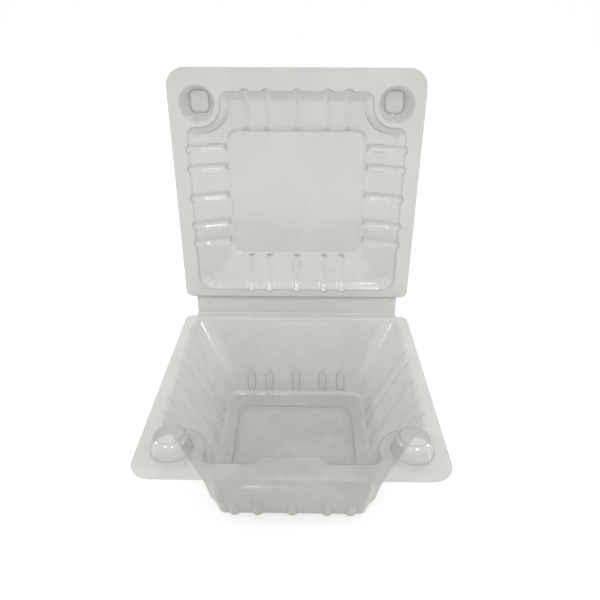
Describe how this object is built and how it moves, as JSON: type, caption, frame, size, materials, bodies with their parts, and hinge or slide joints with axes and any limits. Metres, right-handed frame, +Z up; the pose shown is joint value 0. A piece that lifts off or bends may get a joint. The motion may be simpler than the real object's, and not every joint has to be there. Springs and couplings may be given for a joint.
{
  "type": "plastic clamshell pack",
  "caption": "Clear square food clamshell: ribbed two-tier tub, shallow domed lid on a living hinge, and corner studs that press into sockets.",
  "frame": {"origin": "under the middle of the open pack's bounding box, at the level of the foot it stands on", "axes": "+Z up, +Y from the front of the tray to the hinge, +X to the right seen from the front"},
  "size_m": [0.135, 0.1504, 0.1886],
  "materials": {
    "clear_sheet": "clear gloss"
  },
  "bodies": {
    "base_tray": {"base_tray": "clear_sheet"},
    "lid": {"lid": "clear_sheet"}
  },
  "joints": [
    {"name": "lid_hinge", "type": "hinge", "parent": "base_tray", "child": "lid", "pos_m": [0, 0.06733, 0.04615], "axis": [1, 0, 0], "range_deg": [-91, 89]}
  ]
}
